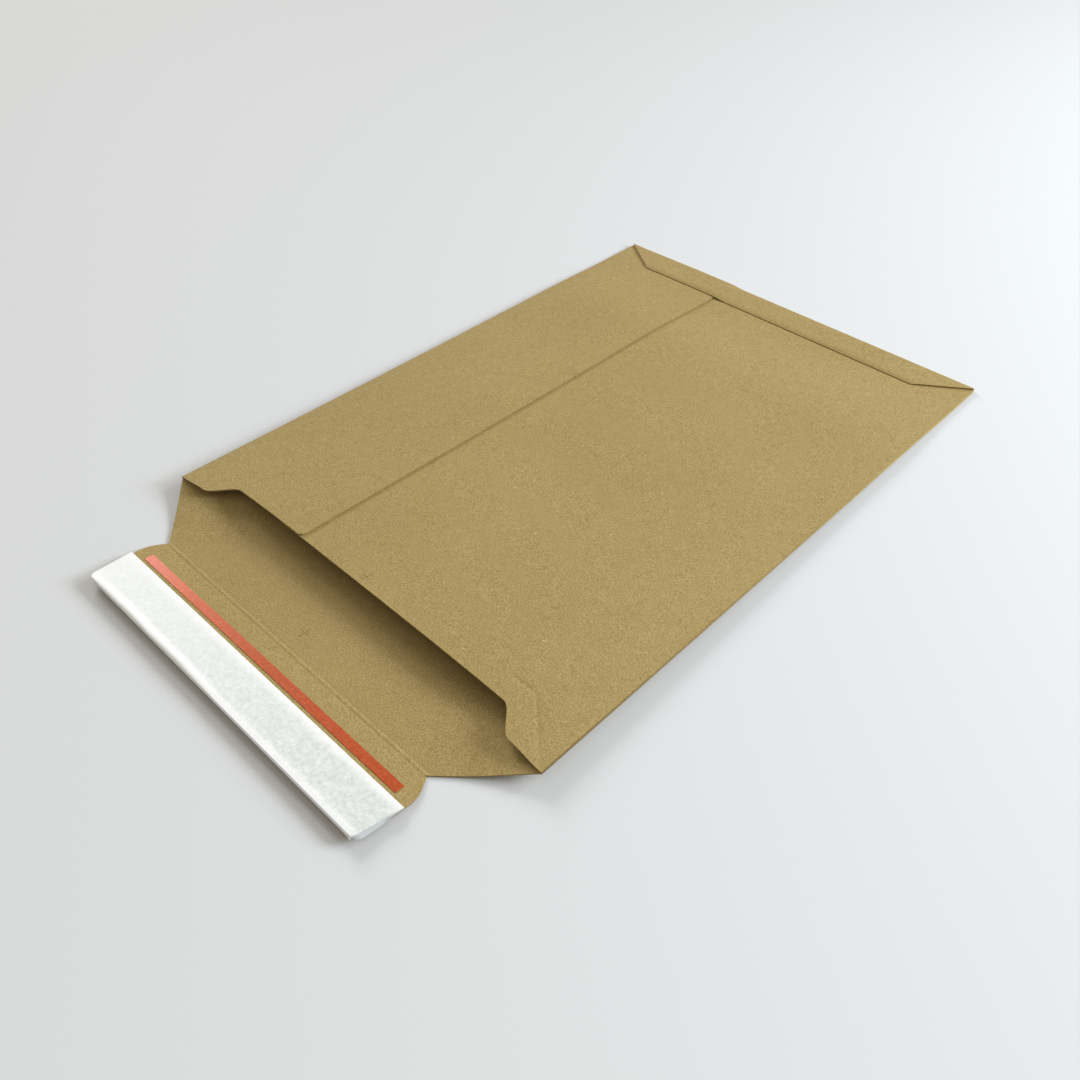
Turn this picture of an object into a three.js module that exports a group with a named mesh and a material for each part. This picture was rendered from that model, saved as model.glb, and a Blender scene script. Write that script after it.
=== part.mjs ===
// Cardboard mailer envelope: one die-cut, creased and folded sheet of solid kraft board, with a
// glue band, its release liner and a tear strip on the closing flap, which is laid open.
// Millimetres, +Z up. The pocket runs along +Y from its mouth at y = 0, the closing flap along -Y.

import * as THREE from 'three';
import { mergeVertices } from 'three/addons/utils/BufferGeometryUtils.js';

// Board
const BOARD = 0.7;                  // thickness of the solid board
const GLUE_LINE = 0.1;              // room between two glued layers
const POCKET_WIDTH = 250;           // outside, fold to fold
const POCKET_LENGTH = 353;          // outside, mouth line to closed end
const NARROW_PANEL = 83;            // left fold to the seam edge
const SEAM_OVERLAP = 15;            // glued width under the seam
const SEAM_CORNER = 3;              // radius of the seam panel's corner at the mouth

// Mouth cut of the two upper panels
const RECESS_DEPTH = 13;
const LAND_WIDTH = 18;              // from the fold to the shoulder of the recess
const LAND_DROP = 1.2;              // how far that land falls back
const SHOULDER_WIDTH = 15;          // across one rounded shoulder

// How the filled-out pocket stands open
const FOLD_LIFT_MOUTH = 4.3;        // side folds above their flat place, at the mouth
const FOLD_LIFT_END = 1.3;          // and where the pocket starts to close
const CROWN_MOUTH = 4.1;            // upper panel above its side folds, at the mouth
const CROWN_END = 2.2;
const SETTLING = 0.5;               // how much of the fall comes early, near the mouth
const SIDE_BAND = 62;               // width of back panel at each side that lifts off the floor
const CROWN_POWER = 3.2;            // higher is a flatter crown with steeper sides
const CLOSING_LENGTH = 68;          // over which the pocket closes
const CLOSED_MARGIN = 3;            // flat stretch before the bottom flap

// Bottom flap
const BOTTOM_FLAP = 21;             // depth over the panels
const BOTTOM_INSET = 28;            // how much shorter its free edge is at each end
const STEP_START = 1;               // past the seam edge
const STEP_SPREAD = 28;              // width over which it comes down from the seam step

// Closing flap, measured along the board from the mouth line
const CREASE = 28.6;                // to the cross crease between the two notches
const CREASE_WIDTH = 1.8;
const CREASE_BEAD = 0.15;           // how far the crease stands up on the inside
const FLAP_LENGTH = 66.4;
const NOTCH_INSET = 33.1;             // notch inside the pocket's side
const FLAP_SHOULDER = 12.4;           // crease to the full width
const SHOULDER_OUT = 5.2;           // how far the shoulder stands out past the notch
const TIP_DRAW = 1.3;                 // how much the sides draw in towards the end corners
const FLAP_CORNER = 4.5;
const TIP_RISE = 4;               // degrees that the outer part stands up from the floor

// Strips on the closing flap
const STRIP_GAP = 0.2;
const LINER_WIDTH = 21.7;
const LINER_THICKNESS = 0.15;
const LINER_EDGE = 0.4;             // board past the liner at the flap's end
const LINER_MARGIN = 1.3;           // board past the liner at each side
const LINER_DRAW = 2;               // how much its outer corners draw in
const LINER_LIFT = 1;               // free edge of the liner, at its curled end
const LINER_WAVE = 0.12;            // height of the liner's small waves
const LINER_WAVE_LENGTH = 24;
const GLUE_WIDTH = 15;
const GLUE_THICKNESS = 0.15;
const GLUE_END_MARGIN = 3;          // liner past the glue at each end
const TEAR_WIDTH = 5;
const TEAR_THICKNESS = 0.25;
const TEAR_CLEAR = 1.7;             // between the tear strip and the liner
const TEAR_MARGIN = 7.4;            // board past the tear strip at each side

// Divisions
const FOLD_STEPS = 6;
const BODY_ROWS = 6;
const CLOSING_ROWS = 6;

const layerPitch = BOARD + GLUE_LINE;
const foldRadius = layerPitch / 2;
const bottomRadius = 1.5 * layerPitch;
const foldX = POCKET_WIDTH / 2 - BOARD / 2 - foldRadius;
const flatHalf = foldX - SIDE_BAND;
const panelEnd = POCKET_LENGTH - BOARD / 2 - bottomRadius;
const seamX = -POCKET_WIDTH / 2 + NARROW_PANEL;
const hiddenX = seamX - SEAM_OVERLAP;
const landX = foldX - LAND_WIDTH;
const recessX = landX - SHOULDER_WIDTH;
const closedEnd = POCKET_LENGTH - BOTTOM_FLAP - CLOSED_MARGIN;
const closedStart = closedEnd - CLOSING_LENGTH;
const notchX = POCKET_WIDTH / 2 - NOTCH_INSET;
const flapX = notchX + SHOULDER_OUT;
const tipRise = THREE.MathUtils.degToRad(TIP_RISE);

const mix = (a, b, t) => a + (b - a) * t;
const smooth = (t) => THREE.MathUtils.smoothstep(t, 0, 1);
const spread = (a, b, n) => Array.from({ length: n + 1 }, (_, i) => mix(a, b, i / n));

// Heights of the mid-surface of each layer. y is taken from the mouth line.

function open(y, mouth, end) {
  const closing = smooth((y - closedStart) / CLOSING_LENGTH);
  const t = THREE.MathUtils.clamp(y / closedStart, 0, 1);
  return mix(mouth, end, t * (1 + SETTLING * (1 - t))) * (1 - closing);
}

function backHeight(x, y) {
  const side = THREE.MathUtils.clamp((Math.abs(x) - flatHalf) / SIDE_BAND, 0, 1);
  return BOARD / 2 + open(y, FOLD_LIFT_MOUTH, FOLD_LIFT_END) * side ** 2;
}

function wideHeight(x, y) {
  const lift = open(y, FOLD_LIFT_MOUTH, FOLD_LIFT_END);
  const crown = open(y, CROWN_MOUTH, CROWN_END) * (1 - (Math.abs(x) / foldX) ** CROWN_POWER);
  return BOARD / 2 + layerPitch + lift + crown;
}

function narrowHeight(x, y) {
  return wideHeight(x, y) + layerPitch * smooth((x + foldX) / (hiddenX + foldX));
}

function bottomFlapHeight(x) {
  const overNarrow = narrowHeight(Math.min(x, seamX), POCKET_LENGTH);
  const overWide = wideHeight(x, POCKET_LENGTH);
  const step = smooth((x - seamX - STEP_START) / STEP_SPREAD);
  return mix(overNarrow, overWide, step) + layerPitch;
}

// Where the upper panels start at the mouth
function mouthEdge(x) {
  const land = LAND_DROP * smooth((foldX - Math.abs(x)) / LAND_WIDTH);
  return mix(land, RECESS_DEPTH, smooth((landX - Math.abs(x)) / SHOULDER_WIDTH));
}

function seamCorner(x) {
  const inside = Math.max(SEAM_CORNER - (seamX - x), 0);
  return SEAM_CORNER - Math.sqrt(SEAM_CORNER ** 2 - inside ** 2);
}

// Half width of the closing flap, at a distance along the board from the mouth line
function closingHalf(along) {
  const past = along - CREASE;
  if (past <= 0) {
    return mix(foldX, notchX, along / CREASE);
  }
  const sideLength = FLAP_LENGTH - FLAP_CORNER - CREASE;
  const shoulder = Math.sin(Math.min(past / FLAP_SHOULDER, 1) * Math.PI / 2);
  const draw = THREE.MathUtils.clamp((past - FLAP_SHOULDER) / (sideLength - FLAP_SHOULDER), 0, 1);
  const side = notchX + SHOULDER_OUT * shoulder - TIP_DRAW * draw;
  const inCorner = THREE.MathUtils.clamp(past - sideLength, 0, FLAP_CORNER);
  return side - FLAP_CORNER + Math.sqrt(FLAP_CORNER ** 2 - inCorner ** 2);
}

// A back panel column carried over to a row whose half width differs: the flat middle stays
function fitted(x, half) {
  const beyond = Math.max(Math.abs(x) - flatHalf, 0) / SIDE_BAND;
  return Math.abs(x) <= flatHalf ? x : Math.sign(x) * mix(flatHalf, half, beyond);
}

// The folded section: mid-surface points from the hidden edge of the wide panel round both
// folds to the seam edge. Each gives its place at a station y and where it starts at the mouth.

const shoulderX = spread(recessX, landX, 5);
const sideX = spread(flatHalf, foldX, 6);
const stepX = [seamX + STEP_START + STEP_SPREAD, seamX + STEP_START];
const seamSteps = [1, 0.4, 0.1, 0];
const rightColumns = [hiddenX, seamX, seamX / 2, 0, flatHalf / 2, flatHalf, ...shoulderX, foldX];
const backColumns = [
  ...sideX.toReversed(),
  ...[0, ...stepX, hiddenX].filter((x) => Math.abs(x) < flatHalf),
  ...sideX.map((x) => -x),
];
const leftColumns = [
  -foldX,
  ...shoulderX.toReversed().map((x) => -x),
  mix(-recessX, hiddenX, 0.5),
  hiddenX,
  ...seamSteps.map((share) => seamX - SEAM_CORNER * share),
];

function foldColumns(side, topFirst) {
  const angles = spread(90, -90, FOLD_STEPS).slice(1, -1);
  const ordered = topFirst ? angles : angles.reverse();
  return ordered.map((degrees) => {
    const angle = THREE.MathUtils.degToRad(degrees);
    return {
      start: () => 0,
      place: (y) => {
        const middle = backHeight(foldX, y) + foldRadius;
        const x = side * (foldX + foldRadius * Math.cos(angle));
        return new THREE.Vector3(x, y, middle + foldRadius * Math.sin(angle));
      },
    };
  });
}

function panelColumns(xs, height, start) {
  return xs.map((x) => ({
    start: () => start(x),
    place: (y) => new THREE.Vector3(x, y, height(x, y)),
  }));
}

const section = [
  ...panelColumns(rightColumns, wideHeight, mouthEdge),
  ...foldColumns(1, true),
  ...panelColumns(backColumns, backHeight, () => 0),
  ...foldColumns(-1, false),
  ...panelColumns(leftColumns, narrowHeight, (x) => mouthEdge(x) + seamCorner(x)),
];

// Sheets are made as open grids at mid-thickness, joined along their shared edges and thickened.

function gridTriangles(rows) {
  const points = [];
  const face = (a, b, c) => points.push(a, b, c);
  for (let j = 0; j + 1 < rows.length; j += 1) {
    for (let i = 0; i + 1 < rows[j].length; i += 1) {
      face(rows[j][i], rows[j][i + 1], rows[j + 1][i + 1]);
      face(rows[j][i], rows[j + 1][i + 1], rows[j + 1][i]);
    }
  }
  return points;
}

function thicken(points, thickness) {
  const raw = new THREE.BufferGeometry().setFromPoints(points);
  const sheet = mergeVertices(raw, 1e-3);
  sheet.computeVertexNormals();
  const position = sheet.getAttribute('position');
  const normal = sheet.getAttribute('normal');
  const index = Array.from(sheet.index.array);
  const count = position.count;
  const coordinates = [];
  for (const side of [0.5, -0.5]) {
    for (let i = 0; i < count; i += 1) {
      const point = new THREE.Vector3().fromBufferAttribute(position, i);
      const direction = new THREE.Vector3().fromBufferAttribute(normal, i);
      coordinates.push(...point.addScaledVector(direction, side * thickness).toArray());
    }
  }
  const edges = new Map();
  const faces = [];
  for (let f = 0; f < index.length; f += 3) {
    const corner = index.slice(f, f + 3);
    faces.push(...corner, corner[2] + count, corner[1] + count, corner[0] + count);
    for (let k = 0; k < 3; k += 1) {
      edges.set(`${corner[k]} ${corner[(k + 1) % 3]}`, [corner[k], corner[(k + 1) % 3]]);
    }
  }
  for (const [a, b] of edges.values()) {
    if (!edges.has(`${b} ${a}`)) {
      faces.push(a, a + count, b, b, a + count, b + count);
    }
  }
  const solid = new THREE.BufferGeometry();
  solid.setAttribute('position', new THREE.Float32BufferAttribute(coordinates, 3));
  solid.setIndex(faces);
  solid.computeVertexNormals();
  return solid;
}

function pocketRows() {
  const mouthClear = RECESS_DEPTH + SEAM_CORNER * 1.5;
  const stations = [
    ...spread(mouthClear, closedStart, BODY_ROWS),
    ...spread(closedStart, closedEnd, CLOSING_ROWS).slice(1),
    panelEnd,
  ];
  const mouth = section.map((column) => column.place(column.start()));
  return [mouth, ...stations.map((y) => section.map((column) => column.place(y)))];
}

function closingFlapRows() {
  const cornerStart = FLAP_LENGTH - FLAP_CORNER;
  const corner = spread(0, Math.PI / 2, 4).map((angle) => cornerStart + FLAP_CORNER * Math.sin(angle));
  const inner = spread(0, CREASE - CREASE_WIDTH / 2, 4);
  const outer = spread(CREASE + CREASE_WIDTH / 2, CREASE + FLAP_SHOULDER, 4);
  const along = [...inner, CREASE, ...outer, ...corner];
  const row = (distance) => backColumns.map((column) => {
    const x = fitted(column, closingHalf(distance));
    const past = Math.max(distance - CREASE, 0);
    const bead = distance === CREASE ? CREASE_BEAD : 0;
    const sloping = mix(backHeight(x, 0), BOARD / 2, smooth(distance / CREASE));
    const height = sloping + past * Math.sin(tipRise) + bead;
    return new THREE.Vector3(x, past - distance - past * Math.cos(tipRise), height);
  });
  return along.reverse().map(row);
}

function bottomFlapRows() {
  const round = spread(-Math.PI / 2, Math.PI / 2, FOLD_STEPS).map((angle) => backColumns.map((x) => {
    const height = mix(backHeight(x, panelEnd), bottomFlapHeight(x), (1 + Math.sin(angle)) / 2);
    return new THREE.Vector3(x, panelEnd + bottomRadius * Math.cos(angle), height);
  }));
  const depth = BOTTOM_FLAP - (POCKET_LENGTH - panelEnd);
  const over = [0.5, 1].map((share) => backColumns.map((column) => {
    const x = fitted(column, foldX - BOTTOM_INSET * share);
    return new THREE.Vector3(x, panelEnd - depth * share, bottomFlapHeight(x));
  }));
  return [...round, ...over];
}

function boardGeometry() {
  const triangles = [
    ...gridTriangles(pocketRows()),
    ...gridTriangles(closingFlapRows()),
    ...gridTriangles(bottomFlapRows()),
  ];
  return thicken(triangles, BOARD);
}

// Strips on the outer part of the closing flap, in a frame that lies on its upper face: x across,
// -y outward from the crease, z off the board.

const linerHalf = flapX - LINER_MARGIN;
const linerStart = FLAP_LENGTH - CREASE - LINER_EDGE - LINER_WIDTH;
const tearStart = linerStart - TEAR_CLEAR - TEAR_WIDTH;

function stripGeometry(start, width, halfLength, thickness) {
  const outline = new THREE.Shape();
  outline.moveTo(-halfLength, -start);
  outline.lineTo(-halfLength, -start - width);
  outline.lineTo(halfLength, -start - width);
  outline.lineTo(halfLength, -start);
  return new THREE.ExtrudeGeometry(outline, { depth: thickness, bevelEnabled: false });
}

// The liner lies on its glue in small waves, and its free edge curls up towards the left end
function linerGeometry() {
  const gluedShare = (LINER_WIDTH + GLUE_WIDTH) / 2 / LINER_WIDTH;
  const down = [...spread(0, gluedShare, 3), ...spread(gluedShare, 1, 2).slice(1)];
  const rows = down.toReversed().map((share) => spread(-1, 1, 32).map((across) => {
    const free = Math.max(share - gluedShare, 0) / (1 - gluedShare);
    const curl = LINER_LIFT * free ** 2 * smooth(0.5 - across);
    const x = across * (linerHalf - LINER_DRAW * share ** 4);
    const wave = LINER_WAVE * (1 + Math.sin(x / LINER_WAVE_LENGTH * Math.PI * 2 + share)) / 2;
    return new THREE.Vector3(x, -linerStart - LINER_WIDTH * share, LINER_THICKNESS / 2 + wave + curl);
  }));
  return thicken(gridTriangles(rows), LINER_THICKNESS);
}

function material(color, roughness) {
  return new THREE.MeshStandardMaterial({ color, roughness, metalness: 0 });
}

function piece(name, geometry, look, height = 0) {
  const mesh = new THREE.Mesh(geometry, look);
  mesh.name = name;
  mesh.position.z = height;
  return mesh;
}

const board = piece('mailer_board', boardGeometry(), material('#a87e58', 0.85));

const onFlap = new THREE.Group();
onFlap.position.set(0, -CREASE, BOARD / 2);
onFlap.rotation.x = -tipRise;
const glueStart = linerStart + (LINER_WIDTH - GLUE_WIDTH) / 2;
const glueLevel = BOARD / 2 + STRIP_GAP;
const linerLevel = glueLevel + GLUE_THICKNESS + STRIP_GAP;
const glue = stripGeometry(glueStart, GLUE_WIDTH, linerHalf - GLUE_END_MARGIN, GLUE_THICKNESS);
const tear = stripGeometry(tearStart, TEAR_WIDTH, flapX - TEAR_MARGIN, TEAR_THICKNESS);
onFlap.add(
  piece('adhesive_band', glue, material('#d8cfae', 0.35), glueLevel),
  piece('release_liner', linerGeometry(), material('#e9e6e2', 0.55), linerLevel),
  piece('tear_strip', tear, material('#e0583c', 0.5), glueLevel),
);

// The origin is under the middle of the whole outline
const mailer = new THREE.Group();
mailer.add(board, onFlap);
mailer.updateMatrixWorld(true);
const extent = new THREE.Box3().setFromObject(mailer, true);
mailer.position.y = -(extent.min.y + extent.max.y) / 2;

export default mailer;
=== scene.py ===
import math
import bpy
import numpy as np
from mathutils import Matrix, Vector


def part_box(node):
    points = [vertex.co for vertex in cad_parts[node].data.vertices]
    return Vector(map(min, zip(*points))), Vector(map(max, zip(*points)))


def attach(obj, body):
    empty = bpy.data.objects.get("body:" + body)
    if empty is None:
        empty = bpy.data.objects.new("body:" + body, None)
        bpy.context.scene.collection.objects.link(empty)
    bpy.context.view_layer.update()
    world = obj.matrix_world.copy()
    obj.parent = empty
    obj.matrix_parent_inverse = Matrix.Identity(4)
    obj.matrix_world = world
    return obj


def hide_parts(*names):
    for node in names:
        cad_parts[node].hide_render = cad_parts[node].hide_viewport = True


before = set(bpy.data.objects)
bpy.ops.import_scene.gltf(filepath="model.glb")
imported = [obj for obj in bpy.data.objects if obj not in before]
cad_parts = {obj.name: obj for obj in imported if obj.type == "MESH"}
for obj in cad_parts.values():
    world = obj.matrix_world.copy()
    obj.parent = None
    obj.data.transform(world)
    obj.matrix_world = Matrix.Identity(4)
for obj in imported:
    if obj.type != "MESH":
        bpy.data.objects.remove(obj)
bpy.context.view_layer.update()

# The mailer lies as in the frame: the pocket runs along +Y from its mouth, the closing flap is laid
# open along -Y. Board shapes are worked out in millimetres from the mouth line and set down in metres.

MM = 0.001
board_low, board_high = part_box("mailer_board")

# Board and pocket
BOARD = 0.7
GLUE_LINE = 0.1
POCKET_WIDTH = (board_high[0] - board_low[0]) / MM
POCKET_LENGTH = 353.0
MOUTH_Y = board_high[1] / MM - POCKET_LENGTH
NARROW_PANEL = 83.0
SEAM_OVERLAP = 15.0
SEAM_CORNER = 3.0

# Recess of the mouth, with a land beside each side fold
RECESS_DEPTH = 13.0
LAND_WIDTH = 18.0
LAND_DROP = 1.2
SHOULDER_WIDTH = 15.0

# Lift of the side folds and crown of the upper panels, and how they die down at the closed end
FOLD_LIFT_MOUTH = 4.3
FOLD_LIFT_END = 1.3
CROWN_MOUTH = 4.1
CROWN_END = 2.2
CROWN_POWER = 3.2
SETTLING = 0.5
SIDE_BAND = 62.0
CLOSING_LENGTH = 68.0
CLOSED_MARGIN = 3.0

# Slow unevenness of the upper panels: its depth, the margins where it fades, and its waves, each with
# its length across and along (mm for each radian), its shift and its share
WARP_DEPTH = 0.14
WARP_SIDE_FADE = 40.0
WARP_END_FADE = 60.0
WARP_WAVES = [(41.0, 83.0, 0.0, 1.0), (-96.0, 57.0, 1.3, 1.0), (23.0, 37.0, 4.0, 0.6)]

# Bottom flap, folded over the closed end and glued, with its last share pressed down
BOTTOM_FLAP = 21.0
BOTTOM_INSET = 28.0
STEP_START = 1.0
STEP_SPREAD = 7.0
PRESSED_EDGE = 0.4
PRESSED_SHARE = 0.12

# Closing flap: its crease is a bead between two shallow grooves
CREASE = 28.6
CREASE_BEAD = 0.15
CREASE_BEAD_WIDTH = 1.08
CREASE_GROOVE = 0.0375
CREASE_GROOVE_WIDTH = 0.8
CREASE_GROOVE_OFF = 1.26
FLAP_LENGTH = 66.1
NOTCH_INSET = 33.1
FLAP_SHOULDER = 12.4
SHOULDER_OUT = 5.2
TIP_DRAW = 1.3
FLAP_CORNER = 4.5
TIP_RISE = math.radians(4.0)

# Liner and tear strip. The levels are those of their middles over the board's face, and the liner laps
# over the flap's free edge and ends.
STRIP_THICKNESS = 0.12
LINER_WIDTH = 22.0
LINER_LEVEL = 0.62
LINER_EDGE = -0.15
LINER_OVER = 0.45
LINER_TURN = 2.4
TEAR_WIDTH = 4.4
TEAR_LEVEL = 0.12
TEAR_CLEAR = 2.0
TEAR_MARGIN = 7.4

# How the liner lies: small wrinkles, a hump along the free edge of its left half, and that edge and the
# right end turned down. Bands are shares of its width, and wave lengths are in mm for each radian.
WRINKLE = 0.035
WRINKLE_LENGTHS = (2.9, 8.3)
HUMP = 0.65
HUMP_BAND = 0.17
HUMP_LEAST = 0.2
HUMP_LEFT = -93.0
HUMP_LEFT_FADE = 14.0
HUMP_RIGHT = 8.0
HUMP_RIGHT_FADE = 22.0
HUMP_WAVE = 0.2
HUMP_WAVE_LENGTH = 5.5
EDGE_DROP = 0.75
EDGE_BAND = 0.02
END_DROP = 0.9
END_BAND = 0.2

# Marks in the board: two register crosses, and the lines that the closing flap's edges have
# pressed into the wide panel beside the mouth
CROSS_ARM = 3.0
CROSS_WIDTH = 0.45
CROSS_DEPTH = 0.07
CROSS_ON_PANEL = 17.7
CROSS_ON_FLAP = -17.7
FLAP_PRINTS = [
    ((122.5, 1.5), (98.5, 24.5)),
    ((98.5, 24.5), (86.0, 24.2)),
    ((100.5, 28.0), (99.3, 44.0)),
]
PRINT_WIDTH = 1.3
PRINT_DEPTH = 0.26

# Places that follow from these
PITCH = BOARD + GLUE_LINE
FOLD_RADIUS = PITCH / 2
BOTTOM_RADIUS = 1.5 * PITCH
FOLD_X = POCKET_WIDTH / 2 - BOARD / 2 - FOLD_RADIUS
FLAT_HALF = FOLD_X - SIDE_BAND
PANEL_END = POCKET_LENGTH - BOARD / 2 - BOTTOM_RADIUS
SEAM_X = -POCKET_WIDTH / 2 + NARROW_PANEL
HIDDEN_X = SEAM_X - SEAM_OVERLAP
LAND_X = FOLD_X - LAND_WIDTH
RECESS_X = LAND_X - SHOULDER_WIDTH
MOUTH_CLEAR = RECESS_DEPTH + 1.5 * SEAM_CORNER
CLOSED_END = POCKET_LENGTH - BOTTOM_FLAP - CLOSED_MARGIN
CLOSED_START = CLOSED_END - CLOSING_LENGTH
NOTCH_X = POCKET_WIDTH / 2 - NOTCH_INSET
FLAP_X = NOTCH_X + SHOULDER_OUT
LINER_START = FLAP_LENGTH - CREASE - LINER_EDGE - LINER_WIDTH
LINER_HALF = FLAP_X + LINER_OVER
TEAR_START = LINER_START - TEAR_CLEAR - TEAR_WIDTH
TEAR_HALF = FLAP_X - TEAR_MARGIN


def mix(a, b, t):
    return a + (b - a) * t


def smooth(t):
    t = np.clip(t, 0, 1)
    return t * t * (3 - 2 * t)


def swell(y, mouth, end):
    """How far the pocket is filled out at y: the mouth gapes, the closed end lies flat."""
    t = np.clip(y / CLOSED_START, 0, 1)
    closing = smooth((y - CLOSED_START) / CLOSING_LENGTH)
    return mix(mouth, end, t * (1 + SETTLING * (1 - t))) * (1 - closing)


def ridge(distance, width):
    """Section of a pressed line, from 1 on the line down to 0 beside it."""
    return np.exp(-((distance / (width / 2)) ** 2))


def from_line(x, y, start, end):
    """Distance of points from a straight line between two places."""
    run = np.subtract(end, start)
    along = np.clip(((x - start[0]) * run[0] + (y - start[1]) * run[1]) / (run @ run), 0, 1)
    return np.hypot(x - start[0] - along * run[0], y - start[1] - along * run[1])


def cross(x, y, middle):
    """Depth of a register cross: two short grooves that meet on the middle line."""
    bars = np.minimum(
        from_line(x, y, (-CROSS_ARM, middle), (CROSS_ARM, middle)),
        from_line(x, y, (0.0, middle - CROSS_ARM), (0.0, middle + CROSS_ARM)),
    )
    return -CROSS_DEPTH * ridge(bars, CROSS_WIDTH)


def flap_prints(x, y):
    """Depth of the lines that the closing flap's edges have left."""
    nearest = np.min([from_line(x, y, start, end) for start, end in FLAP_PRINTS], axis=0)
    return -PRINT_DEPTH * ridge(nearest, PRINT_WIDTH)


# Heights of the board's mid-surface

def back_height(x, y):
    side = np.clip((np.abs(x) - FLAT_HALF) / SIDE_BAND, 0, 1)
    return BOARD / 2 + swell(y, FOLD_LIFT_MOUTH, FOLD_LIFT_END) * side**2


def panel_warp(x, y):
    """Slow unevenness of the upper panels, never above the plain shape."""
    sides = smooth((FOLD_X - np.abs(x)) / WARP_SIDE_FADE)
    end = smooth((CLOSED_END - y) / WARP_END_FADE)
    slow = 0
    most = 0
    for across, along, shift, share in WARP_WAVES:
        slow = slow + share * np.sin(x / across + y / along + shift)
        most += share
    return -WARP_DEPTH * sides * end * (1 + slow / most)


def wide_height(x, y):
    lift = swell(y, FOLD_LIFT_MOUTH, FOLD_LIFT_END)
    crown = swell(y, CROWN_MOUTH, CROWN_END) * (1 - (np.abs(x) / FOLD_X) ** CROWN_POWER)
    marks = cross(x, y, CROSS_ON_PANEL) + flap_prints(x, y)
    return BOARD / 2 + PITCH + lift + crown + panel_warp(x, y) + marks


def narrow_height(x, y):
    return wide_height(x, y) + PITCH * smooth((x + FOLD_X) / (HIDDEN_X + FOLD_X))


def bottom_flap_height(x):
    end = np.full_like(x, POCKET_LENGTH)
    over_narrow = narrow_height(np.minimum(x, SEAM_X), end)
    step = smooth((x - SEAM_X - STEP_START) / STEP_SPREAD)
    return mix(over_narrow, wide_height(x, end), step) + PITCH


# Outlines

def mouth_edge(x):
    """How far the upper panels' edge lies in from the mouth line: two lands and the recess."""
    land = LAND_DROP * smooth((FOLD_X - np.abs(x)) / LAND_WIDTH)
    return mix(land, RECESS_DEPTH, smooth((LAND_X - np.abs(x)) / SHOULDER_WIDTH))


def seam_corner(x):
    """How far the narrow panel's rounded corner draws its edge in."""
    inside = np.clip(SEAM_CORNER - (SEAM_X - x), 0, SEAM_CORNER)
    return SEAM_CORNER - np.sqrt(SEAM_CORNER**2 - inside**2)


def closing_half(along):
    """Half width of the closing flap at a distance along the board from the mouth line."""
    past = along - CREASE
    if past <= 0:
        return mix(FOLD_X, NOTCH_X, along / CREASE)
    side_length = FLAP_LENGTH - FLAP_CORNER - CREASE
    shoulder = math.sin(min(past / FLAP_SHOULDER, 1) * math.pi / 2)
    draw = min(max((past - FLAP_SHOULDER) / (side_length - FLAP_SHOULDER), 0), 1)
    side = NOTCH_X + SHOULDER_OUT * shoulder - TIP_DRAW * draw
    in_corner = min(max(past - side_length, 0), FLAP_CORNER)
    return side - FLAP_CORNER + math.sqrt(FLAP_CORNER**2 - in_corner**2)


def fitted(x, half):
    """Back panel columns carried over to a row whose half width differs; the flat middle stays."""
    beyond = np.clip(np.abs(x) - FLAT_HALF, 0, None) / SIDE_BAND
    return np.where(np.abs(x) <= FLAT_HALF, x, np.sign(x) * mix(FLAT_HALF, half, beyond))


# Sheets

WELD_DECIMALS = 3
SHARP_ANGLE = math.radians(50)


def stations(marks, step, fine=()):
    """Values through the marks at about the step, closer where fine names a (place, reach, step)."""
    values = set()
    for a, b in zip(marks, marks[1:]):
        count = max(1, round(abs(b - a) / step))
        values.update(np.linspace(a, b, count + 1).round(4))
    low, high = min(marks), max(marks)
    for place, reach, close in fine:
        near = np.arange(place - reach, place + reach + close / 2, close)
        values = {v for v in values if abs(v - place) > reach + close / 2 or v in marks}
        values.update(near[(near > low) & (near < high)].round(4))
    return np.array(sorted(values))


def add_object(name, data):
    made = bpy.data.objects.new(name, data)
    bpy.context.scene.collection.objects.link(made)
    return made


def sheet_mesh(name, patches, thickness):
    """A closed solid from grids of mid-surface points (mm) that share their edges: both faces are
    offset along the normals, and the cut edge round them gets the mesh's second material."""
    points = np.concatenate([patch.reshape(-1, 3) for patch in patches])
    quads = []
    start = 0
    for patch in patches:
        rows, columns = patch.shape[:2]
        at = start + np.arange(rows * columns).reshape(rows, columns)
        corners = (at[:-1, :-1], at[:-1, 1:], at[1:, 1:], at[1:, :-1])
        quads.append(np.stack(corners, axis=-1).reshape(-1, 4))
        start += rows * columns
    whole = points.round(WELD_DECIMALS)
    _, first, merged = np.unique(whole, axis=0, return_index=True, return_inverse=True)
    points = points[first]
    quads = merged.reshape(-1)[np.concatenate(quads)]
    count = len(points)
    across = points[quads[:, 2]] - points[quads[:, 0]]
    along = points[quads[:, 3]] - points[quads[:, 1]]
    face_normals = np.cross(across, along)
    normals = np.zeros_like(points)
    for corner in range(4):
        np.add.at(normals, quads[:, corner], face_normals)
    normals /= np.linalg.norm(normals, axis=1)[:, None]
    edges = {}
    for quad in quads.tolist():
        for a, b in zip(quad, quad[1:] + quad[:1]):
            edges[(a, b)] = True
    rim = [(b, a, a + count, b + count) for a, b in edges if (b, a) not in edges]
    vertices = np.concatenate([points + normals * thickness / 2, points - normals * thickness / 2])
    vertices[:, 1] += MOUTH_Y
    vertices[:, 2] = np.maximum(vertices[:, 2], 0)
    faces = quads.tolist() + (quads[:, ::-1] + count).tolist() + rim
    mesh = bpy.data.meshes.new(name)
    mesh.from_pydata((vertices * MM).tolist(), [], faces)
    material_of = np.zeros(len(faces), dtype=np.int32)
    material_of[2 * len(quads):] = 1
    mesh.polygons.foreach_set("material_index", material_of)
    mesh.polygons.foreach_set("use_smooth", np.ones(len(faces), dtype=bool))
    mesh.validate()
    mesh.set_sharp_from_angle(angle=SHARP_ANGLE)
    return add_object(name, mesh)


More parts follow.
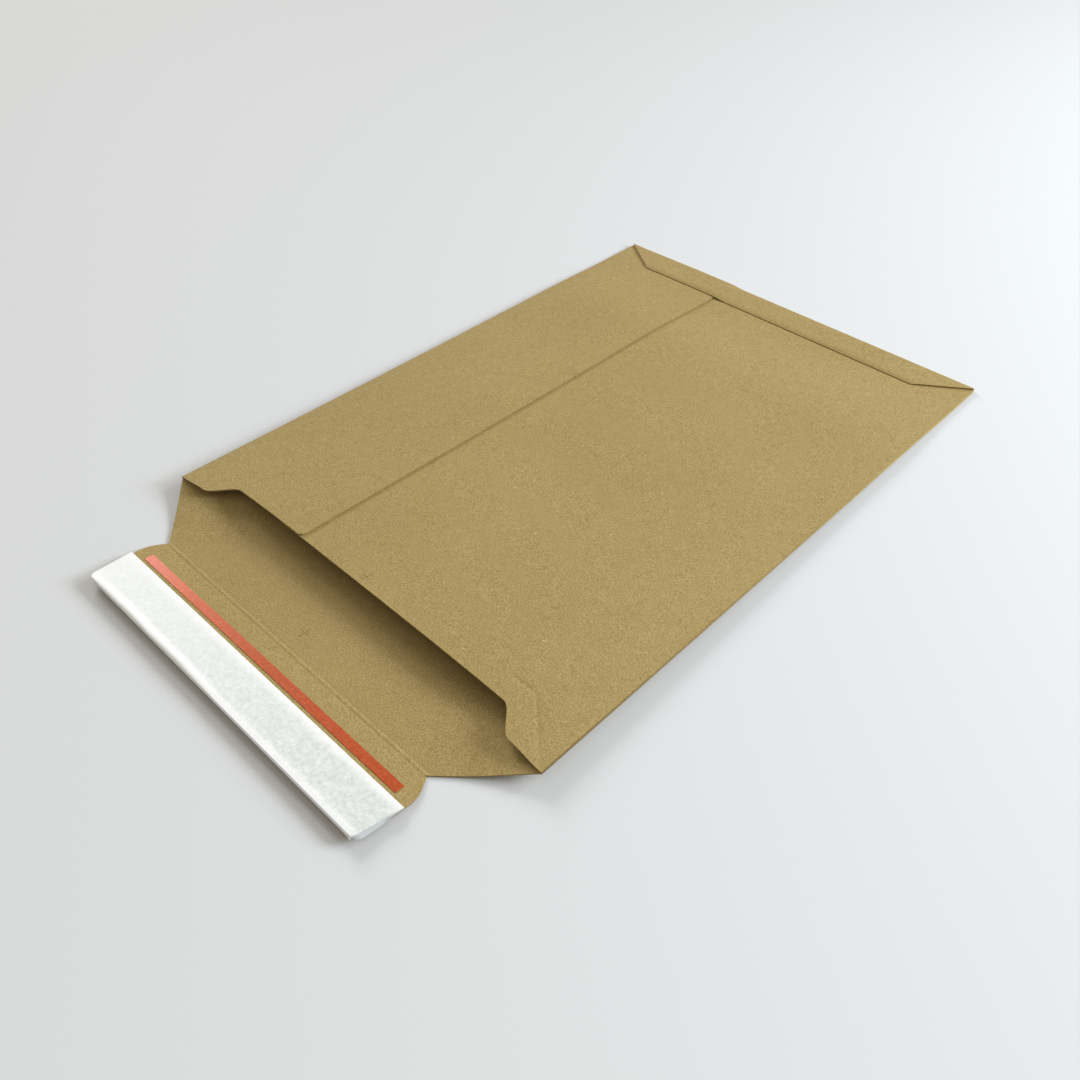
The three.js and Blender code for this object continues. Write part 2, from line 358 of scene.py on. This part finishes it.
# Grid of the board: its usual step, the steps over its marks, and how finely its turns are divided.
# A stretch of closer steps is a place, how far it reaches to either side, and the step.
GRID = 4.5
FLAP_GRID = 2.0
MARK_STEP = 0.3
LEAD_STEPS = 16
FOLD_STEPS = 10
BOTTOM_STEPS = 12
CORNER_STEPS = 8
CROSS_COLUMNS = (0.0, CROSS_ARM + MARK_STEP, MARK_STEP)
PRINT_COLUMNS = (105.0, 19.0, 0.8)
PRINT_ROWS = (34.0, 13.0, 0.8)
SHOULDER_COLUMNS = (-(RECESS_X + LAND_X) / 2, SHOULDER_WIDTH / 2, 1.0)
SEAM_COLUMNS = (SEAM_X - SEAM_CORNER / 2, SEAM_CORNER / 2, MARK_STEP)
BAR_REACH = 1.2
CREASE_REACH = 2.1

back_marks = [-FOLD_X, -FLAT_HALF, HIDDEN_X, SEAM_X, FLAT_HALF, FOLD_X]
BACK_X = stations(back_marks, GRID, fine=[CROSS_COLUMNS])[::-1]


def panel_column(x, y, height):
    """One column of a panel, whose mid-surface lies at that height."""
    across = np.full_like(y, x)
    return np.stack([across, y, height(across, y)], axis=-1)


def fold_column(side, angle, y):
    """One column of a side fold: the board turns round it from the upper to the back panel."""
    middle = back_height(np.full_like(y, FOLD_X), y) + FOLD_RADIUS
    x = np.full_like(y, side * (FOLD_X + FOLD_RADIUS * math.cos(angle)))
    return np.stack([x, y, middle + FOLD_RADIUS * math.sin(angle)], axis=-1)


def pocket_patch():
    """The pocket as one strip of columns: wide panel, right fold, back panel, left fold, narrow panel."""
    wide_marks = [HIDDEN_X, SEAM_X, FLAT_HALF, RECESS_X, LAND_X, FOLD_X]
    wide_x = stations(wide_marks, GRID, fine=[CROSS_COLUMNS, PRINT_COLUMNS])
    narrow_marks = [-FOLD_X, -LAND_X, -RECESS_X, HIDDEN_X, SEAM_X - SEAM_CORNER, SEAM_X]
    narrow_x = stations(narrow_marks, GRID, fine=[SHOULDER_COLUMNS, SEAM_COLUMNS])
    bar_rows = (MOUTH_CLEAR + BAR_REACH, BAR_REACH, MARK_STEP)
    rows = stations([MOUTH_CLEAR, CLOSED_START, CLOSED_END, PANEL_END], GRID, fine=[bar_rows, PRINT_ROWS])
    lead = np.linspace(0, 1, LEAD_STEPS + 1)[:-1]
    turn = np.linspace(math.pi / 2, -math.pi / 2, FOLD_STEPS + 1)[1:-1]

    def run(start):
        """Rows of a column from the mouth's edge, shared by all columns once clear of it."""
        return np.concatenate([mix(start, MOUTH_CLEAR, lead), rows])

    columns = [panel_column(x, run(mouth_edge(x)), wide_height) for x in wide_x]
    columns += [fold_column(1, angle, run(0.0)) for angle in turn]
    columns += [panel_column(x, run(0.0), back_height) for x in BACK_X]
    columns += [fold_column(-1, angle, run(0.0)) for angle in turn[::-1]]
    columns += [panel_column(x, run(mouth_edge(x) + seam_corner(x)), narrow_height) for x in narrow_x]
    return np.stack(columns, axis=1)


def flap_point(x, along):
    """Mid-surface of the closing flap at x and a distance along the board from the mouth line."""
    past = max(along - CREASE, 0)
    sloping = mix(back_height(x, np.zeros_like(x)), BOARD / 2, smooth(along / CREASE))
    off = abs(along - CREASE)
    bead = CREASE_BEAD * ridge(off, CREASE_BEAD_WIDTH)
    groove = CREASE_GROOVE * ridge(off - CREASE_GROOVE_OFF, CREASE_GROOVE_WIDTH)
    height = sloping + past * math.sin(TIP_RISE) + bead - groove + cross(x, -along, CROSS_ON_FLAP)
    y = past - along - past * math.cos(TIP_RISE)
    return np.stack([x, np.full_like(x, y), height], axis=-1)


def closing_flap_patch():
    corner_start = FLAP_LENGTH - FLAP_CORNER
    corner = corner_start + FLAP_CORNER * np.sin(np.linspace(0, math.pi / 2, CORNER_STEPS + 1)[1:])
    fine = [(CREASE, CREASE_REACH, MARK_STEP), (-CROSS_ON_FLAP, BAR_REACH, MARK_STEP)]
    along = stations([0, CREASE, CREASE + FLAP_SHOULDER, corner_start], FLAP_GRID, fine=fine)
    along = np.concatenate([along, corner])
    return np.stack([flap_point(fitted(BACK_X, closing_half(d)), d) for d in along[::-1]])


def bottom_flap_patch():
    """The fold round the closed end, and the flap that it lays on the upper panels."""
    rows = []
    low = back_height(BACK_X, np.full_like(BACK_X, PANEL_END))
    high = bottom_flap_height(BACK_X)
    for angle in np.linspace(-math.pi / 2, math.pi / 2, BOTTOM_STEPS + 1):
        y = np.full_like(BACK_X, PANEL_END + BOTTOM_RADIUS * math.cos(angle))
        rows.append(np.stack([BACK_X, y, mix(low, high, (1 + math.sin(angle)) / 2)], axis=-1))
    depth = BOTTOM_FLAP - (POCKET_LENGTH - PANEL_END)
    plain = np.linspace(0, 1 - PRESSED_SHARE, 8)[1:]
    pressed = np.linspace(1 - PRESSED_SHARE, 1, 4)[1:]
    for share in [*plain, *pressed]:
        x = fitted(BACK_X, FOLD_X - BOTTOM_INSET * share)
        y = np.full_like(x, PANEL_END - depth * share)
        sunk = PRESSED_EDGE * smooth((share - 1 + PRESSED_SHARE) / PRESSED_SHARE)
        rows.append(np.stack([x, y, bottom_flap_height(x) - sunk], axis=-1))
    return np.stack(rows)


# Rows of a strip, as shares of its width from the inner edge: close together at the free edge
STRIP_SHARES = [1, 0.994, 0.987, 0.98, 0.97, 0.95, 0.93, 0.91, 0.88, 0.85, *np.linspace(0.8, 0, 16)]
LINER_COLUMNS = 281
TEAR_COLUMNS = 121


def strip_patch(start, width, level, ends, count, rise=None):
    """Mid-surface of a strip on the closing flap's outer part, at a level over its middle. ends gives
    where it begins and stops across the flap, and rise how far it stands off that level."""
    rows = []
    for share in STRIP_SHARES:
        x = np.linspace(*ends(share), count)
        past = start + width * share
        height = level + (rise(x, share) if rise else 0)
        y = -CREASE - past * math.cos(TIP_RISE) + height * math.sin(TIP_RISE)
        z = BOARD / 2 + past * math.sin(TIP_RISE) + height * math.cos(TIP_RISE)
        rows.append(np.stack([x, y + np.zeros_like(x), z + np.zeros_like(x)], axis=-1))
    return np.stack(rows)


def liner_ends(share):
    """The liner covers the flap's ends and laps just over their edge, round the corners too."""
    reach = closing_half(CREASE + LINER_START + share * (LINER_WIDTH - LINER_OVER)) + LINER_OVER
    return -reach, reach


def tear_ends(share):
    return -TEAR_HALF, TEAR_HALF


def liner_rise(x, share):
    """Wrinkles all over, the hump along the free edge, and the turned-down edge and right end."""
    wave = np.sin(x / WRINKLE_LENGTHS[0] + share * 5) * np.sin(x / WRINKLE_LENGTHS[1] + 1 + share * 3)
    lip = np.clip((share - 1 + HUMP_BAND) / HUMP_BAND, 0, 1)
    left = smooth((x - HUMP_LEFT) / HUMP_LEFT_FADE)
    right = smooth((HUMP_RIGHT - x) / HUMP_RIGHT_FADE)
    uneven = 1 - HUMP_WAVE + HUMP_WAVE * np.sin(x / HUMP_WAVE_LENGTH)
    hump = 4 * HUMP * lip * (1 - lip) * (HUMP_LEAST + (1 - HUMP_LEAST) * left * right * uneven)
    edge = smooth((share - 1 + EDGE_BAND) / EDGE_BAND)
    end = np.clip((x - x[-1] + LINER_TURN) / LINER_TURN, 0, 1) * smooth((share - END_BAND) / END_BAND)
    return WRINKLE * (1 + wave) + hump - EDGE_DROP * edge - END_DROP * end**2


# Materials

# Patterns of the board, each with its size in millimetres, its detail and roughness, and its dark and
# light tones: the fibre, drawn coarser than real fibres so that it shows, the cloudiness that they
# settle in, and the slow drift of tone from place to place
FIBRE_PATTERNS = [
    (0.65, 3.0, 0.6, [(0.32, "#7F6937"), (0.68, "#D0BA83")]),
    (4.5, 2.0, 0.5, [(0.3, "#99834D"), (0.7, "#B19B65")]),
    (80.0, 1.0, 0.5, [(0.35, "#9F8951"), (0.65, "#AD965E")]),
]
TOOTH_DEPTH = 0.15

# Flecks: the side of the cells that they are strewn over, their size, and the share of cells with one
PALE_FLECKS = (27.0, 0.75)
DARK_FLECKS = (6.0, 0.6)
FLECKED_CELLS = 0.3

# Ink of the crosses: half width of its full tone and of its blur, and the height above which a mark on
# the upper panel shows, so that the one below it stays plain
CROSS_CORE = 0.1
CROSS_BLUR = 0.26
CROSS_INK = 0.6
PANEL_LEVEL = 6.0

# Painted shade on the side folds, a dark tone: the width over which it starts, the length over which it
# fades from the mouth, and its share at both ends of that length
FOLD_SHADE_BLUR = 0.4
FOLD_SHADE_LENGTH = 260.0
FOLD_SHADE_AT_MOUTH = 0.75
FOLD_SHADE_FADED = 0.1

# Glue seen through the liner: its mottle, how ragged its edge is, and how much shows at each end
MOTTLE = 2.0
RAGGED_GRAIN = 6.0
RAGGED_STRAY = 4.0
MOTTLE_LEFT = 0.35
MOTTLE_RIGHT = 1.15
# Blur of the painted shade, a grey tone, on the liner's turned-down right end
END_SHADE_BLUR = 0.3

TAPE_STREAK = 1.4
GLUE_PATCH = 3.0


def linear(code):
    """An sRGB hex colour as linear RGBA."""
    parts = [int(code[i:i + 2], 16) / 255 for i in (1, 3, 5)]
    return [p / 12.92 if p <= 0.04045 else ((p + 0.055) / 1.055) ** 2.4 for p in parts] + [1]


def add(tree, kind, inputs=None, stops=(), **settings):
    """Adds a node with its settings, and links or sets its inputs by name or number. stops gives the
    places and colours of a colour ramp."""
    made = tree.nodes.new(kind)
    for name, value in settings.items():
        setattr(made, name, value)
    for key, value in (inputs or {}).items():
        if isinstance(value, bpy.types.NodeSocket):
            tree.links.new(value, made.inputs[key])
        else:
            made.inputs[key].default_value = value
    for number, (place, colour) in enumerate(stops):
        elements = made.color_ramp.elements
        element = elements[number] if number < 2 else elements.new(place)
        element.position = place
        element.color = linear(colour)
    return made


def new_material(name, roughness, specular):
    """A material with its gloss set, and the tree and the shader that its colour goes into."""
    material = bpy.data.materials.new(name)
    material.use_nodes = True
    surface = material.node_tree.nodes["Principled BSDF"]
    surface.inputs["Roughness"].default_value = roughness
    surface.inputs["Specular IOR Level"].default_value = specular
    return material, material.node_tree, surface


def per_mm(size):
    """Texture scale for a feature of that size in millimetres, on coordinates in metres."""
    return 1 / (size * MM)


def flecks(tree, place, spacing, size):
    """A mask of sparse flecks of about that size in millimetres, one to a cell in some of the cells."""
    scale = per_mm(spacing)
    cells = add(tree, "ShaderNodeTexVoronoi", {"Vector": place, "Scale": scale}, voronoi_dimensions="2D")
    near = add(tree, "ShaderNodeMapRange", {
        "Value": cells.outputs["Distance"],
        "From Min": size / 2 / spacing,
        "From Max": size / 4 / spacing,
    }).outputs["Result"]
    lot = add(tree, "ShaderNodeSeparateColor", {"Color": cells.outputs["Color"]}).outputs["Red"]
    chosen = add(tree, "ShaderNodeMath", {0: lot, 1: FLECKED_CELLS}, operation="LESS_THAN")
    fleck = add(tree, "ShaderNodeMath", {0: near, 1: chosen.outputs["Value"]}, operation="MULTIPLY")
    return fleck.outputs["Value"]


def scored_cross(tree, axes, middle):
    """A mask that is 1 on the two thin bars of a register cross."""
    height = {0: axes["Y"], 1: (MOUTH_Y + middle) * MM}
    off = add(tree, "ShaderNodeMath", height, operation="SUBTRACT").outputs["Value"]
    across = add(tree, "ShaderNodeMath", {0: axes["X"]}, operation="ABSOLUTE").outputs["Value"]
    down = add(tree, "ShaderNodeMath", {0: off}, operation="ABSOLUTE").outputs["Value"]
    near = add(tree, "ShaderNodeMath", {0: across, 1: down}, operation="MINIMUM").outputs["Value"]
    far = add(tree, "ShaderNodeMath", {0: across, 1: down}, operation="MAXIMUM").outputs["Value"]
    bar = add(tree, "ShaderNodeMapRange", {
        "Value": near,
        "From Min": CROSS_BLUR * MM,
        "From Max": CROSS_CORE * MM,
    }).outputs["Result"]
    arm = add(tree, "ShaderNodeMath", {0: far, 1: CROSS_ARM * MM}, operation="LESS_THAN")
    bars = add(tree, "ShaderNodeMath", {0: bar, 1: arm.outputs["Value"]}, operation="MULTIPLY")
    return bars.outputs["Value"]


def kraft_board(name, cut_edge=False):
    """Solid kraft board, pressed from recycled brown fibre: fully matt, with a mottled grain of light
    and dark fibre, a fibrous tooth, and sparse flecks of pale and dark fibre. The scored side folds carry
    painted shade, a dark tone strongest near the mouth, and a cut edge is darker."""
    material, tree, surface = new_material(name, roughness=0.85, specular=0.2)
    place = add(tree, "ShaderNodeTexCoord").outputs["Object"]
    axes = add(tree, "ShaderNodeSeparateXYZ", {"Vector": place}).outputs
    patterns = []
    tones = []
    for size, detail, roughness, stops in FIBRE_PATTERNS:
        pattern = add(tree, "ShaderNodeTexNoise", {
            "Vector": place,
            "Scale": per_mm(size),
            "Detail": detail,
            "Roughness": roughness,
        }).outputs["Fac"]
        patterns.append(pattern)
        tones.append(add(tree, "ShaderNodeValToRGB", {"Fac": pattern}, stops).outputs["Color"])
    fibre, cloud, drift = tones

    upper = add(tree, "ShaderNodeMath", {0: axes["Z"], 1: PANEL_LEVEL * MM}, operation="GREATER_THAN")
    crosses = add(tree, "ShaderNodeMath", {
        0: scored_cross(tree, axes, CROSS_ON_PANEL),
        1: upper.outputs["Value"],
        2: scored_cross(tree, axes, CROSS_ON_FLAP),
    }, operation="MULTIPLY_ADD").outputs["Value"]
    ink = add(tree, "ShaderNodeMath", {0: crosses, 1: CROSS_INK}, operation="MULTIPLY").outputs["Value"]

    side = add(tree, "ShaderNodeMath", {0: axes["X"]}, operation="ABSOLUTE").outputs["Value"]
    scored = add(tree, "ShaderNodeMapRange", {
        "Value": side,
        "From Min": FOLD_X * MM,
        "From Max": (FOLD_X + FOLD_SHADE_BLUR) * MM,
    }).outputs["Result"]
    fading = add(tree, "ShaderNodeMapRange", {
        "Value": axes["Y"],
        "From Min": MOUTH_Y * MM,
        "From Max": (MOUTH_Y + FOLD_SHADE_LENGTH) * MM,
        "To Min": FOLD_SHADE_AT_MOUTH,
        "To Max": FOLD_SHADE_FADED,
    }).outputs["Result"]
    painted_fold_shade = add(tree, "ShaderNodeMath", {0: scored, 1: fading}, operation="MULTIPLY").outputs["Value"]

    # Tones laid over the fibre in turn, each by its share or its mask
    layers = [
        (0.3, cloud),
        (0.25, drift),
        (ink, linear("#5E4D2C")),
        (flecks(tree, place, *PALE_FLECKS), linear("#E6DAB6")),
        (flecks(tree, place, *DARK_FLECKS), linear("#7E6B40")),
        # Painted shade: a dark tone on the side folds, strongest near the mouth
        (painted_fold_shade, linear("#5F4B2B")),
    ]
    if cut_edge:
        layers.append((0.5, linear("#7D683F")))
    colour = fibre
    for share, tone in layers:
        laid = add(tree, "ShaderNodeMix", {0: share, 6: colour, 7: tone}, data_type="RGBA")
        colour = laid.outputs[2]
    tree.links.new(colour, surface.inputs["Base Color"])
    tooth = {"Height": patterns[0], "Strength": 0.6, "Distance": TOOTH_DEPTH * MM}
    tree.links.new(add(tree, "ShaderNodeBump", tooth).outputs["Normal"], surface.inputs["Normal"])
    return material


def release_paper(name):
    """Silicone-coated release paper: smooth white, and grey-green and mottled where the glue behind
    it shows through, more so towards the right. Its long margins hold no glue and stay plain. Where it
    turns down past the board at the right end it carries painted shade, a grey tone."""
    material, tree, surface = new_material(name, roughness=0.6, specular=0.3)
    place = add(tree, "ShaderNodeTexCoord").outputs["Object"]
    axes = add(tree, "ShaderNodeSeparateXYZ", {"Vector": place}).outputs

    ragged = add(tree, "ShaderNodeTexNoise", {
        "Vector": place,
        "Scale": per_mm(RAGGED_GRAIN),
        "Detail": 4.0,
        "Roughness": 0.7,
    }).outputs["Fac"]
    stray = add(tree, "ShaderNodeMath", {
        0: ragged,
        1: RAGGED_STRAY * MM,
        2: axes["Y"],
    }, operation="MULTIPLY_ADD").outputs["Value"]
    inner = MOUTH_Y - CREASE - LINER_START * math.cos(TIP_RISE)
    outer = inner - LINER_WIDTH * math.cos(TIP_RISE)
    across = add(tree, "ShaderNodeMapRange", {
        "Value": stray,
        "From Min": (inner + RAGGED_STRAY / 2) * MM,
        "From Max": (outer + RAGGED_STRAY / 2) * MM,
    }).outputs["Result"]
    band = [(0.05, "#000000"), (0.2, "#FFFFFF"), (0.8, "#FFFFFF"), (0.96, "#000000")]
    glued = add(tree, "ShaderNodeValToRGB", {"Fac": across}, band).outputs["Color"]
    growing = add(tree, "ShaderNodeMapRange", {
        "Value": axes["X"],
        "From Min": -LINER_HALF * MM,
        "From Max": LINER_HALF * MM,
        "To Min": MOTTLE_LEFT,
        "To Max": MOTTLE_RIGHT,
    }).outputs["Result"]
    shown = add(tree, "ShaderNodeMath", {0: glued, 1: growing}, operation="MULTIPLY", use_clamp=True)

    mottle = add(tree, "ShaderNodeTexNoise", {
        "Vector": place,
        "Scale": per_mm(MOTTLE),
        "Detail": 5.0,
        "Roughness": 0.75,
    }).outputs["Fac"]
    tones = [(0.3, "#CBD3CC"), (0.64, "#EEF3F0")]
    mottled = add(tree, "ShaderNodeValToRGB", {"Fac": mottle}, tones).outputs["Color"]

    slant = (TIP_DRAW + LINER_TURN) / LINER_WIDTH
    bound = FLAP_X - slant * (MOUTH_Y - CREASE - LINER_START)
    slanted = {0: axes["Y"], 1: -slant, 2: axes["X"]}
    from_end = add(tree, "ShaderNodeMath", slanted, operation="MULTIPLY_ADD").outputs["Value"]
    # Mask of the painted shade on the liner's turned-down right end
    painted_end_shade = add(tree, "ShaderNodeMapRange", {
        "Value": from_end,
        "From Min": (bound - END_SHADE_BLUR) * MM,
        "From Max": (bound + END_SHADE_BLUR) * MM,
    }).outputs["Result"]

    colour = linear("#FDFFFF")
    # The grey laid at the right end is painted shade on the turned-down paper
    for share, tone in [(shown.outputs["Value"], mottled), (painted_end_shade, linear("#C4CACB"))]:
        laid = add(tree, "ShaderNodeMix", {0: share, 6: colour, 7: tone}, data_type="RGBA")
        colour = laid.outputs[2]
    tree.links.new(colour, surface.inputs["Base Color"])
    return material


def tear_tape(name):
    """Orange-red film tape stuck down on the board: a thin plastic ribbon, a little glossy, with faint
    streaks. It grows paler towards its left end, a painted sheen."""
    material, tree, surface = new_material(name, roughness=0.45, specular=0.2)
    place = add(tree, "ShaderNodeTexCoord").outputs["Object"]
    axes = add(tree, "ShaderNodeSeparateXYZ", {"Vector": place}).outputs
    along = add(tree, "ShaderNodeMapRange", {
        "Value": axes["X"],
        "From Min": -TEAR_HALF * MM,
        "From Max": TEAR_HALF * MM,
    }).outputs["Result"]
    # Painted sheen: the tape's tone grows paler towards its left end
    sheen_ramp = [(0.0, "#F8907A"), (0.25, "#D66A44"), (0.5, "#BB5320"), (1.0, "#B54716")]
    tone = add(tree, "ShaderNodeValToRGB", {"Fac": along}, sheen_ramp).outputs["Color"]
    scale = per_mm(TAPE_STREAK)
    streak = add(tree, "ShaderNodeTexNoise", {"Vector": place, "Scale": scale, "Detail": 3.0})
    streaks = [(0.35, "#A2431A"), (0.7, "#DF7648")]
    worn = add(tree, "ShaderNodeValToRGB", {"Fac": streak.outputs["Fac"]}, streaks).outputs["Color"]
    colour = add(tree, "ShaderNodeMix", {0: 0.3, 6: tone, 7: worn}, data_type="RGBA").outputs[2]
    tree.links.new(colour, surface.inputs["Base Color"])
    return material


def glue_film(name):
    """Hot-melt glue: a pale tacky film, smooth and a little glossy, unevenly thick."""
    material, tree, surface = new_material(name, roughness=0.3, specular=0.5)
    place = add(tree, "ShaderNodeTexCoord").outputs["Object"]
    scale = per_mm(GLUE_PATCH)
    patch = add(tree, "ShaderNodeTexNoise", {"Vector": place, "Scale": scale, "Detail": 2.0})
    tones = [(0.3, "#C9BE97"), (0.7, "#DDD4B4")]
    colour = add(tree, "ShaderNodeValToRGB", {"Fac": patch.outputs["Fac"]}, tones).outputs["Color"]
    tree.links.new(colour, surface.inputs["Base Color"])
    return material


# Pieces

board = sheet_mesh("folded_board", [pocket_patch(), closing_flap_patch(), bottom_flap_patch()], BOARD)
board.data.materials.append(kraft_board("solid_kraft_board"))
board.data.materials.append(kraft_board("kraft_board_cut_edge", cut_edge=True))
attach(board, "root")
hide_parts("mailer_board")

liner_level = BOARD / 2 + LINER_LEVEL
liner_patch = strip_patch(LINER_START, LINER_WIDTH, liner_level, liner_ends, LINER_COLUMNS, liner_rise)
liner = sheet_mesh("liner_strip", [liner_patch], STRIP_THICKNESS)

# A strip's cut edge has the same material as its faces
paper = release_paper("silicone_release_paper")
liner.data.materials.append(paper)
liner.data.materials.append(paper)
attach(liner, "root")
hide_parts("release_liner")

tear_patch = strip_patch(TEAR_START, TEAR_WIDTH, BOARD / 2 + TEAR_LEVEL, tear_ends, TEAR_COLUMNS)
tear = sheet_mesh("tear_ribbon", [tear_patch], STRIP_THICKNESS)
film = tear_tape("orange_film_tape")
tear.data.materials.append(film)
tear.data.materials.append(film)
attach(tear, "root")
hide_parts("tear_strip")

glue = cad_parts["adhesive_band"]
glue.data.materials.clear()
glue.data.materials.append(glue_film("hot_melt_glue"))

# Floor, lights and camera

FLOOR_HALF = 4.0
FLOOR_DROP = 0.1 * MM
floor_mesh = bpy.data.meshes.new("floor")
corners = [(x * FLOOR_HALF, y * FLOOR_HALF, -FLOOR_DROP) for x, y in ((-1, -1), (1, -1), (1, 1), (-1, 1))]
floor_mesh.from_pydata(corners, [], [(0, 1, 2, 3)])
floor = add_object("floor", floor_mesh)
floor_material, _, floor_surface = new_material("pale_floor", roughness=0.8, specular=0.2)
floor_surface.inputs["Base Color"].default_value = linear("#E2E6E8")
floor.data.materials.append(floor_material)


def aim(thing, place, target):
    thing.location = place
    thing.rotation_mode = "QUATERNION"
    thing.rotation_quaternion = (Vector(target) - Vector(place)).to_track_quat("-Z", "Y")


def add_light(name, kind, place, **settings):
    """A light at that place in metres, turned to the mailer."""
    data = bpy.data.lights.new(name, kind)
    for setting, value in settings.items():
        setattr(data, setting, value)
    aim(add_object(name, data), place, (0, 0, 0))


key = {"shape": "DISK", "size": 0.6, "energy": 31, "color": linear("#EEF6FF")[:3]}
add_light("right_key", "AREA", place=(1.2, 1.1, 0.6), **key)
add_light("back_window", "SUN", place=(0.35, 1.0, 0.5), energy=0.75, angle=math.radians(15))
add_light("left_window", "SUN", place=(-1.2, 0.5, 0.5), energy=1.75, angle=math.radians(22))

world = bpy.data.worlds.new("studio")
world.use_nodes = True
room_tree = world.node_tree
room = room_tree.nodes["Background"]
room.inputs["Color"].default_value = linear("#E9DFD2")
room.inputs["Strength"].default_value = 0.47

# The camera and reflections see a pale backdrop, and matt surfaces are lit by the warm room instead
backdrop = add(room_tree, "ShaderNodeBackground", {"Color": linear("#E3E6E8"), "Strength": 1.0})
rays = add(room_tree, "ShaderNodeLightPath").outputs
seen = rays["Is Camera Ray"]
for ray in ("Is Glossy Ray", "Is Transmission Ray"):
    seen = add(room_tree, "ShaderNodeMath", {0: seen, 1: rays[ray]}, operation="MAXIMUM").outputs["Value"]
surround = add(room_tree, "ShaderNodeMixShader", {
    0: seen,
    1: room.outputs["Background"],
    2: backdrop.outputs["Background"],
})
room_tree.links.new(surround.outputs["Shader"], room_tree.nodes["World Output"].inputs["Surface"])
bpy.context.scene.world = world
bpy.context.scene.view_settings.view_transform = "Standard"

# The photo's camera: its focal length is in pixels of a square image of that side, and its places are
# in millimetres
IMAGE_SIDE = 1080
FOCAL_PIXELS = 993.4
SENSOR_WIDTH = 36
CAMERA_PLACE = (269.7, MOUTH_Y - 151.6, 325.2)
CAMERA_TARGET = (32.4, MOUTH_Y + 95.3, 0.0)
NEAREST_SEEN = 0.01

camera_data = bpy.data.cameras.new("camera")
camera_data.sensor_width = SENSOR_WIDTH
camera_data.lens = FOCAL_PIXELS / IMAGE_SIDE * SENSOR_WIDTH
camera_data.clip_start = NEAREST_SEEN
camera = add_object("camera", camera_data)
aim(camera, [c * MM for c in CAMERA_PLACE], [c * MM for c in CAMERA_TARGET])
bpy.context.scene.camera = camera
